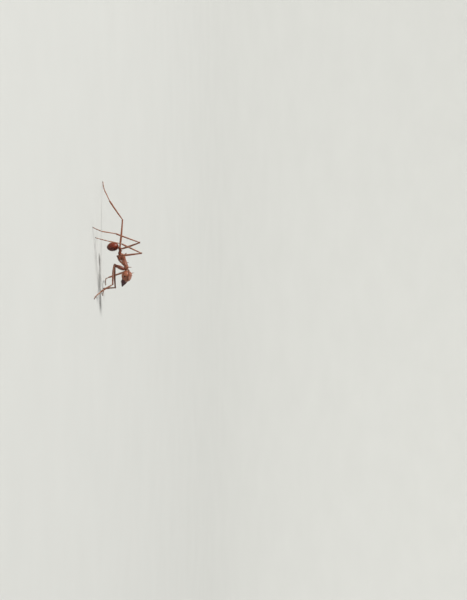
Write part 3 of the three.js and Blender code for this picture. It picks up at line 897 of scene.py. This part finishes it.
# ---------------------------------------------------------------------------
# Gaster. An egg of smooth chitin. One great plate covers most of its back and
# another its belly, meeting in a seam down each side, and three short rings
# telescope out of them at the tip. The belly is darkened with painted shade.
GASTER_CENTRE = (3.66, 0, 2.42)
GASTER_HALF = (1.03, 0.84, 0.77)
GASTER_TILT = math.radians(100)
# Each ring's place along the unit egg and how far it steps in.
GASTER_RINGS = [(-0.6, 0.035), (-0.78, 0.032), (-0.9, 0.03)]
GASTER_SEAM_DEPTH = 0.022
GASTER_BELLY_STEP = 0.014
GASTER_POSE = Matrix.Translation(GASTER_CENTRE) @ Matrix.Rotation(-GASTER_TILT, 4, "Y")

# Smooth chitin of the gaster is deep red-brown with a soft broad shine.
smooth_gaster = ("#651E0B", "#984620", "#2C0504")
gaster_chitin = chitin("smooth_chitin_gaster", *smooth_gaster, 0.38, 0.02, 0.0008, shine=0.28)


def gaster_point(d):
    """Point of the gaster in direction d, tip towards -X, back plates towards +Z."""
    taper = 1 + 0.08 * d.x
    edge = 0.0
    for where, step in GASTER_RINGS:
        shift = 0.04 * d.z
        edge += step * smoothstep(where + shift + 0.012, where + shift - 0.012, d.x)
    seam = bell(d.z + 0.28 + 0.1 * d.x, 0.03) * smoothstep(-0.98, -0.9, d.x) * smoothstep(0.97, 0.9, d.x)
    under = smoothstep(-0.27, -0.31, d.z + 0.1 * d.x)
    size = 1 - edge - GASTER_SEAM_DEPTH * seam - GASTER_BELLY_STEP * under
    half_length, half_width, half_height = GASTER_HALF
    length = d.x * half_length * (1 - 0.25 * edge)
    return Vector((length, d.y * half_width * taper * size, d.z * half_height * taper * size))


shape = ball_along_x(160, 240)
layer = shape.verts.layers.float.new("tint_and_shade")
for v in shape.verts:
    d = v.co.copy()
    v.co = gaster_point(d)
    bands = sum(bell(d.x - where - 0.04 * d.z + 0.03, 0.035) for where, step in GASTER_RINGS)
    seam = bell(d.z + 0.3 + 0.1 * d.x, 0.03)
    # Painted shade: the gaster darkens towards its underside.
    belly = smoothstep(0.0, -0.9, d.z)
    v[layer] = min(1, 0.8 * bands + 0.7 * seam + 0.6 * smoothstep(0.75, 1.0, d.x) + 0.65 * belly)
bmesh.ops.recalc_face_normals(shape, faces=shape.faces)
gaster_skin = finish_piece("gaster_shell", shape, gaster_chitin, ["gaster"], GASTER_POSE)

# ---------------------------------------------------------------------------
# Legs. Tubes of chitin joined by folded skin: a stout hip piece and a short ring,
# then the long thigh, swollen in its middle, the shin, and a foot of five joints.
# The shin ends in a spur, which on the front legs is a comb for cleaning feelers.

# Lengths of hip with ring, thigh, shin, heel and toes.
LEG_LENGTHS = {
    "front": (1.85, 3.7, 2.5, 1.4, 1.4),
    "mid": (1.0, 4.6, 3.7, 2.3, 2.1),
    "hind": (1.0, 5.25, 4.3, 2.4, 1.8),
}
HIPS = {"front": (7.5, 0.36, 4.4), "mid": (5.75, 0.42, 3.66), "hind": (4.95, 0.42, 3.62)}
# Each length's heading and rise in degrees. The last length falls to the ground.
STANCE = {
    "front_r": ((-152, -60), (-21.5, -1.5), (-45, -47), (-62, -23), (-65,)),
    "front_l": ((138, -68), (7.3, 0.5), (83, -60), (70, -10), (62,)),
    "mid_r": ((-121, -18), (-105, 70), (-149, -61), (-146, -76), (-152,)),
    "mid_l": ((83, -22), (65, 17), (-24, -71), (85, -20), (60,)),
    "hind_r": ((-150, 14), (-105.5, 44.5), (-141, -64.5), (-116, -70), (-117,)),
    "hind_l": ((146, -8), (172, 4.5), (158, -34), (151, -25), (147,)),
}
THIGH_BOW = {"front": -0.09, "mid": 0.06, "hind": 0.06}
# Painted shade over the legs' own colour: the front legs darkest, the hind legs a little.
LEG_PAINTED_SHADE = {"front": 0.4, "mid": 0.0, "hind": 0.1}
# Heights over the ground at which the last length ends, in the solids and in the real foot.
ROD_TIP_HEIGHT = 0.2
FOOT_HEIGHT = 0.085
FOOT_SHARES = (0, 0.29, 0.5, 0.65, 1)
HIP_SHARE = 0.76
# Radii in millimetres at shares of each length.
HIP_OUTLINE = {"front": [(0.0, 0.2), (0.14, 0.27), (0.4, 0.31), (0.75, 0.24), (0.97, 0.16)]}
HIP_OUTLINE["mid"] = HIP_OUTLINE["hind"] = [(0.0, 0.2), (0.25, 0.26), (0.6, 0.23), (0.95, 0.15)]
RING_OUTLINE = [(0.0, 0.1), (0.3, 0.145), (0.7, 0.15), (1.0, 0.115)]
THIGH_OUTLINE = [(0.012, 0.09), (0.035, 0.12), (0.12, 0.148), (0.35, 0.176), (0.65, 0.152), (0.9, 0.126)]
THIGH_OUTLINE += [(0.965, 0.138), (0.995, 0.12)]
SHIN_OUTLINE = [(0.0, 0.07), (0.03, 0.088), (0.07, 0.082), (0.2, 0.112), (0.55, 0.128), (0.88, 0.145)]
SHIN_OUTLINE += [(0.985, 0.128)]
HEEL_OUTLINE = [(0.0, 0.05), (0.05, 0.074), (0.3, 0.08), (0.85, 0.096), (0.985, 0.084)]
TOE_OUTLINE = [(0.06, 0.05), (0.3, 0.068), (0.82, 0.09), (0.98, 0.07)]
LAST_TOE_OUTLINE = [(0.04, 0.045), (0.3, 0.056), (0.78, 0.074), (0.95, 0.06)]
HORN_TAPER = [(0.0, 1.0), (0.25, 0.9), (0.5, 0.7), (0.75, 0.45), (0.93, 0.2), (1.0, 0)]
# Spur and claw: length, radius and sweep in radians.
SPUR = (0.2, 0.018, 0.3)
COMB = (0.34, 0.026, 0.7)
CLAW = (0.2, 0.03, 1.25)
KNEE_LOBE = (0.11, 0.05, 0.1)
FOOT_PAD = (0.05, 0.04, 0.035)

# Netted chitin of the hips is satin and redder than the legs.
hip_chitin = chitin("netted_chitin_hips", "#773822", "#A26547", "#40160C", 0.4, 0.024, 0.0022, sheen=0.25)

# Thin chitin of the legs is smoother, so each carries a narrow line of light.
smooth_legs = ("#864B32", "#B77F5E", "#4A1E12")
leg_chitin = chitin("smooth_chitin_legs", *smooth_legs, 0.36, 0.022, 0.0016, patch=0.3, sheen=0.2)

# Downy chitin of the feet is paler and matt.
downy_feet = ("#925B42", "#C0916F", "#562B1B")
foot_chitin = chitin("downy_chitin_feet", *downy_feet, 0.44, 0.02, 0.0016, patch=0.25, sheen=0.25)


def leg_joints(pair, side, headings):
    """Joints of a leg from its hip on, each length at its heading (azimuth, rise)."""
    joints = [flipped(HIPS[pair], side)]
    for length, (azimuth, *rise) in zip(LEG_LENGTHS[pair], headings):
        rise = rise or [math.degrees(math.asin((ROD_TIP_HEIGHT - joints[-1].z) / length))]
        joints.append(joints[-1] + heading(azimuth, *rise) * length)
    return joints


def hook(length, radius, sweep, sides=10):
    """Horn that starts along X and curls down through its sweep."""
    outline = [(-0.3 * radius, 0), (-0.2 * radius, 0.8 * radius)]
    outline += [(length * t, radius * r) for t, r in HORN_TAPER]
    shape = turned(outline, sides)
    bend = length / sweep
    for v in shape.verts:
        angle, reach = v.co.x / bend, bend + v.co.z
        v.co = (reach * math.sin(angle), v.co.y, reach * math.cos(angle) - bend)
    return shape


def tint_and_shade_all(shape, amount):
    """Gives a form this much darkening or more: real dark pigment for knee lobes and spurs, painted shade
    for whole legs.
    """
    layer = shape.verts.layers.float.get("tint_and_shade") or shape.verts.layers.float.new("tint_and_shade")
    for v in shape.verts:
        v[layer] = max(v[layer], amount)


for key, headings in STANCE.items():
    pair, side_name = key.split("_")
    hip, ring_end, knee, ankle, heel_end, rod_tip = leg_joints(pair, SIDES[side_name], headings)
    tip = Vector((rod_tip.x, rod_tip.y, FOOT_HEIGHT))
    thigh_way = (knee - ring_end).normalized()
    shin_way = (ankle - knee).normalized()
    across = thigh_way.cross(shin_way).normalized()

    ring_start = hip.lerp(ring_end, HIP_SHARE)
    shape = tapered(hip, ring_start, HIP_OUTLINE[pair], 24, steps=6)
    add_to(shape, tapered(ring_start, ring_end, RING_OUTLINE, 20, steps=5))
    finish_limb(f"hip_{key}", shape, hip_chitin, f"coxa_{key}", hip, ring_end)
    fold(ring_start, 0.11)
    fold(ring_end, 0.1)

    shape = tapered(ring_end, knee, THIGH_OUTLINE, 20, -shin_way, THIGH_BOW[pair], 7, flat=0.92)
    for lobe in (1, -1):
        bulb = bead((0, 0, 0), KNEE_LOBE, lay((0, 0, 0), thigh_way, across).to_3x3().to_4x4())
        tint_and_shade_all(bulb, 0.6)
        add_to(shape, bulb, Matrix.Translation(knee + across * 0.085 * lobe - thigh_way * 0.02))
    # Painted shade on the thigh.
    tint_and_shade_all(shape, LEG_PAINTED_SHADE[pair])
    finish_limb(f"thigh_{key}", shape, leg_chitin, f"femur_{key}", ring_end, knee)
    fold(knee, 0.1)

    shape = tapered(knee, ankle, SHIN_OUTLINE, 20, thigh_way, -0.03, 7, flat=0.9)
    spur = hook(*(COMB if pair == "front" else SPUR))
    tint_and_shade_all(spur, 0.4)
    spur_root = ankle - shin_way * 0.07 - thigh_way * 0.06
    add_to(shape, spur, lay(spur_root, spur_root + shin_way - thigh_way * 0.45, -thigh_way))
    # Painted shade on the shin.
    tint_and_shade_all(shape, LEG_PAINTED_SHADE[pair])
    finish_limb(f"shin_{key}", shape, leg_chitin, f"tibia_{key}", knee, ankle)
    fold(ankle, 0.085)

    shape = tapered(ankle, heel_end, HEEL_OUTLINE, 16, thigh_way, 0.02, 6)
    finish_limb(f"heel_{key}", shape, foot_chitin, f"basitarsus_{key}", ankle, heel_end)

    middle = heel_end.lerp(tip, 0.5) - Vector((0, 0, 0.11))
    knots = [heel_end * (1 - t) ** 2 + middle * 2 * t * (1 - t) + tip * t * t for t in FOOT_SHARES]
    shape = bmesh.new()
    for number, (start, end) in enumerate(zip(knots, knots[1:])):
        outline = LAST_TOE_OUTLINE if number == len(knots) - 2 else TOE_OUTLINE
        add_to(shape, tapered(start, end, outline, 16, bow=0.01, steps=5))
        fold(start, 0.052)
    finish_limb(f"toes_{key}", shape, foot_chitin, f"tarsus_{key}", heel_end, tip)

    level = Vector((tip.x - knots[-2].x, tip.y - knots[-2].y, 0)).normalized()
    aside = Vector((0, 0, 1)).cross(level)
    shape = bmesh.new()
    for turn_side in (1, -1):
        claw_way = level + aside * 0.55 * turn_side + Vector((0, 0, 0.1))
        claw_root = tip + aside * 0.03 * turn_side + level * 0.01
        add_to(shape, hook(*CLAW), lay(claw_root, claw_root + claw_way))
    add_to(shape, bead(tip + level * 0.05 - Vector((0, 0, 0.03)), FOOT_PAD))
    finish_piece(f"claws_{key}", shape, jaw_chitin)

# ---------------------------------------------------------------------------
# Joint skin. Where the plates and tubes meet they are joined by soft folded skin,
# which shows as a darker ball or collar in each gap.
finish_piece("joint_skin", membranes, membrane)

# ---------------------------------------------------------------------------
# Hairs. Fine stiff bristles stand out sparsely over head, trunk, waist and gaster, and
# short down lies along every plate and limb, shortest on feelers, feet and face. Each is a
# tapering curved spike, just under 0.01 mm thick as the real ones are.

# Where each ring of a hair's corners lies, and how thick it is there.
HAIR_RINGS = ((0.0, 1.0), (0.35, 0.85), (0.7, 0.55))
HAIR_SIDES = 3
HAIR_CURL = 0.5
HAIR_ROOT = 0.008 * MM
BRISTLE_RADIUS = 0.0046
DOWN_RADIUS = 0.0035
LIE_SPREAD = 0.35
LEAN_SPREAD = 14
BALD_RING = 0.1
BAKE_PATCH = 0.003

# Bristles of clear golden chitin catch the light, in darker and paler patches.
golds = [(0.3, "#9A633C"), (0.7, "#D6A878")]
bristle = clouded("golden_chitin_bristles", 1 / (0.4 * MM), 4, golds, (0.3, 0.42), 1.55)


def sow(skin, axis, count, length, lean, seed, radius, strip=(0, 1), keep=None):
    """Plants count hairs on a skin, lying along its axis (start, end) and lean degrees off
    upright. Strip is the skin's share of the coat's baking map."""
    mesh = skin.data
    mesh.calc_loop_triangles()
    corners = np.empty(len(mesh.vertices) * 3)
    mesh.vertices.foreach_get("co", corners)
    faces = np.empty(len(mesh.loop_triangles) * 3, dtype=np.int32)
    mesh.loop_triangles.foreach_get("vertices", faces)
    a, b, c = corners.reshape(-1, 3)[faces.reshape(-1, 3)].transpose(1, 0, 2)
    normals = np.cross(b - a, c - a)
    areas = np.linalg.norm(normals, axis=1)
    normals /= np.maximum(areas, 1e-20)[:, None]
    if keep:
        areas = areas * keep((a + b + c) / 3)
    chance = np.random.RandomState(seed)
    picked = chance.choice(len(areas), count, p=areas / areas.sum())
    u, v = chance.rand(count, 1), chance.rand(count, 1)
    folded = (u + v) > 1
    u, v = np.where(folded, 1 - u, u), np.where(folded, 1 - v, v)
    roots = a[picked] * (1 - u - v) + b[picked] * u + c[picked] * v
    normals = normals[picked]
    start, end = (np.array((INTO_ROW @ Vector(p))[:]) for p in axis)
    flow = (end - start) / np.linalg.norm(end - start)
    lie = flow + LIE_SPREAD * (chance.rand(count, 3) - 0.5)
    lie -= normals * (lie * normals).sum(axis=1)[:, None]
    lie /= np.maximum(np.linalg.norm(lie, axis=1), 1e-9)[:, None]
    angles = np.radians(lean + LEAN_SPREAD * (chance.rand(count, 1) - 0.5))
    rise = normals * np.cos(angles) + lie * np.sin(angles)
    lengths = length * (0.7 + 0.6 * chance.rand(count, 1)) * MM
    share = ((roots - start) @ flow) / np.linalg.norm(end - start)
    level = np.array((flow[1], -flow[0], 0)) if abs(flow[2]) < 0.9 else np.array((0, 1, 0))
    level = level / np.linalg.norm(level)
    upward = np.cross(flow, level)
    around = np.arctan2((roots - start) @ upward, (roots - start) @ level) / math.tau + 0.5
    across = np.clip(share, 0, 1) * (strip[1] - strip[0]) + strip[0]
    return roots, normals, rise, lie, lengths, np.full((count, 1), radius * MM), around, across


def clear_of(spikes, gap):
    """Chance of a hair at each place, which is nothing within gap mm of the spikes (base, tip)."""

    def chance(places):
        free = np.ones(len(places))
        for spike in spikes:
            base, tip = (np.array((INTO_ROW @ Vector(p))[:]) for p in spike)
            t = np.clip((places - base) @ (tip - base) / ((tip - base) @ (tip - base)), 0, 1)
            away = np.linalg.norm(places - (base + t[:, None] * (tip - base)), axis=1)
            free[away < gap * MM] = 0
        return free

    return chance


def grow(name, slot, *coat):
    """Makes one mesh of all hairs sown in a coat, with each hair's baking patch at its root."""
    columns = [np.concatenate(column) for column in zip(*coat)]
    roots, normals, rise, lie, lengths, radii, around, across = columns
    side = np.cross(rise, lie)
    side /= np.maximum(np.linalg.norm(side, axis=1), 1e-9)[:, None]
    over = np.cross(rise, side)
    rings = []
    for along, thin in HAIR_RINGS:
        middle = roots - normals * HAIR_ROOT + lengths * (rise * along + (lie - rise) * HAIR_CURL * along**2)
        for turn_no in range(HAIR_SIDES):
            angle = math.tau * turn_no / HAIR_SIDES
            rings.append(middle + radii * thin * (side * math.cos(angle) + over * math.sin(angle)))
    rings.append(roots + lengths * (rise + (lie - rise) * HAIR_CURL))
    points = np.stack(rings, axis=1)
    per_hair = points.shape[1]
    faces = [(2, 1, 0)]
    for ring in range(len(HAIR_RINGS) - 1):
        for i in range(HAIR_SIDES):
            j = (i + 1) % HAIR_SIDES
            low, high = ring * HAIR_SIDES, (ring + 1) * HAIR_SIDES
            faces.append((low + i, low + j, high + j, high + i))
    last = per_hair - 1 - HAIR_SIDES
    faces += [(last + i, last + (i + 1) % HAIR_SIDES, per_hair - 1) for i in range(HAIR_SIDES)]
    firsts = range(0, len(points) * per_hair, per_hair)
    all_faces = [tuple(first + k for k in face) for first in firsts for face in faces]
    mesh = bpy.data.meshes.new(name)
    mesh.from_pydata(points.reshape(-1, 3).tolist(), [], all_faces)
    bake = mesh.uv_layers.new(name="OFBake")
    where = np.empty(len(mesh.loops), dtype=np.int32)
    mesh.loops.foreach_get("vertex_index", where)
    hair, spot = where // per_hair, where % per_hair
    uv = np.stack(
        (
            around[hair] * (1 - BAKE_PATCH) + BAKE_PATCH * (spot % HAIR_SIDES) / HAIR_SIDES,
            across[hair] * (1 - BAKE_PATCH) + BAKE_PATCH * spot / per_hair,
        ),
        axis=1,
    )
    bake.data.foreach_set("uv", uv.reshape(-1))
    made = show(name, mesh, bristle)
    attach(made, "root")


def bald_round(spikes, pose=Matrix()):
    """Keeps hairs off the spines (base, tip, radius) of both sides."""
    both = [(spike, side) for spike in spikes for side in SIDES.values()]
    return clear_of([[pose @ flipped(p, side) for p in spike[:2]] for spike, side in both], BALD_RING)


# The numbers of each sowing are count, length, lean, seed and radius.
axis = (HEAD_POSE @ Vector((1.1, 0, 0)), HEAD_POSE @ Vector((-1.1, 0, 0)))
bald = bald_round(HEAD_SPINES, HEAD_POSE)
bristles = sow(head_skin, axis, 300, 0.12, 48, 11, 0.0042, keep=bald)
down = sow(head_skin, axis, 2600, 0.048, 76, 12, 0.0032, keep=bald)
grow("hairs_head", "head_cuticle", bristles, down)

axis = (Vector((8.0, 0, 4.4)), Vector((4.6, 0, 4.2)))
bald = bald_round(TRUNK_SPINES)
bristles = sow(trunk_skin, axis, 240, 0.15, 46, 21, BRISTLE_RADIUS, keep=bald)
down = sow(trunk_skin, axis, 2200, 0.06, 76, 22, DOWN_RADIUS, keep=bald)
grow("hairs_trunk", "trunk_cuticle", bristles, down)

axis = (Vector((4.8, 0, 3.8)), Vector((4.0, 0, 3.7)))
bristles = sow(petiole_skin, axis, 40, 0.12, 46, 31, BRISTLE_RADIUS, (0, 0.5))
down = sow(petiole_skin, axis, 260, 0.05, 74, 33, DOWN_RADIUS, (0, 0.5))
axis = (Vector((4.3, 0, 3.8)), Vector((3.6, 0, 3.5)))
rear_bristles = sow(postpetiole_skin, axis, 80, 0.13, 46, 32, BRISTLE_RADIUS, (0.5, 1))
rear_down = sow(postpetiole_skin, axis, 420, 0.055, 74, 34, DOWN_RADIUS, (0.5, 1))
grow("hairs_waist", "waist_cuticle", bristles, down, rear_bristles, rear_down)

axis = (GASTER_POSE @ Vector((1.05, 0, 0)), GASTER_POSE @ Vector((-1.05, 0, 0)))
bristles = sow(gaster_skin, axis, 360, 0.15, 56, 41, 0.0044)
down = sow(gaster_skin, axis, 1500, 0.06, 78, 42, 0.003)
grow("hairs_gaster", "gaster_cuticle", bristles, down)

for number, key in enumerate(SIDES):
    shaft = sow(*limbs[f"feeler_shaft_{key}"], 700, 0.055, 68, 51 + number, 0.0042, (0, 0.5))
    whip = sow(*limbs[f"feeler_whip_{key}"], 2400, 0.04, 66, 53 + number, 0.0038, (0.5, 1))
    grow(f"hairs_feeler_{key}", "feeler_cuticle", shaft, whip)

# Down on each length of a leg: count, length, lean and radius.
LEG_DOWN = [
    ("hip", 480, 0.06, 72, 0.0035),
    ("thigh", 1500, 0.075, 70, 0.0037),
    ("shin", 1500, 0.08, 66, 0.0038),
    ("heel", 850, 0.052, 60, 0.0035),
    ("toes", 750, 0.045, 58, 0.0033),
]
for number, key in enumerate(STANCE):
    coat = []
    for strip_no, (part, count, length, lean, radius) in enumerate(LEG_DOWN):
        strip = (strip_no / len(LEG_DOWN), (strip_no + 1) / len(LEG_DOWN))
        seed = 100 + 10 * number + strip_no
        coat.append(sow(*limbs[f"{part}_{key}"], count, length, lean, seed, radius, strip))
    grow(f"hairs_leg_{key}", "leg_cuticle", *coat)
